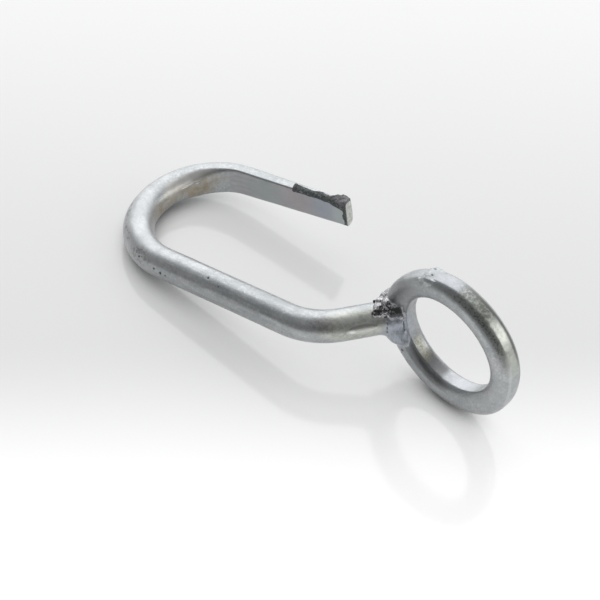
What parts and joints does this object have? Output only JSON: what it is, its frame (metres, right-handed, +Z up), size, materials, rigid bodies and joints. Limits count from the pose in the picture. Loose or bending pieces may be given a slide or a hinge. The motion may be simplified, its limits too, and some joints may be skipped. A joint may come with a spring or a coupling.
{
  "type": "welded eye hook",
  "caption": "J-shaped hook bent from round bar with a flattened lip arm and a round ring welded across its neck.",
  "frame": {"origin": "centre of the footprint, on the floor that the hook lies on", "axes": "+X from the U bend towards the ring, +Y from the leg towards the lip arm, +Z up; the hook's own plane leans about 10 degrees because it lies on its bend and on the rim of its ring"},
  "size_m": [0.1738, 0.0664, 0.0595],
  "materials": {
    "galvanised_steel": "hot-dip galvanised, satin, mottled, with scuffs and pits",
    "galvanised_weld": "smooth zinc over weld metal, bluish grey",
    "dark_weld_slag": "rough dark slag with bright metal specks",
    "zinc_dross": "rough matt grey dross"
  },
  "bodies": {
    "root": {"hook_bar": "galvanised_steel", "eye_ring": "galvanised_steel", "ring_butt_weld": "galvanised_weld", "weld_fillet_under": "galvanised_weld", "weld_bead_rear": "galvanised_weld", "weld_bead_top": "dark_weld_slag", "weld_spatter_neck": "dark_weld_slag", "weld_spatter_ring": "dark_weld_slag", "tip_crust": "zinc_dross"}
  },
  "joints": []
}
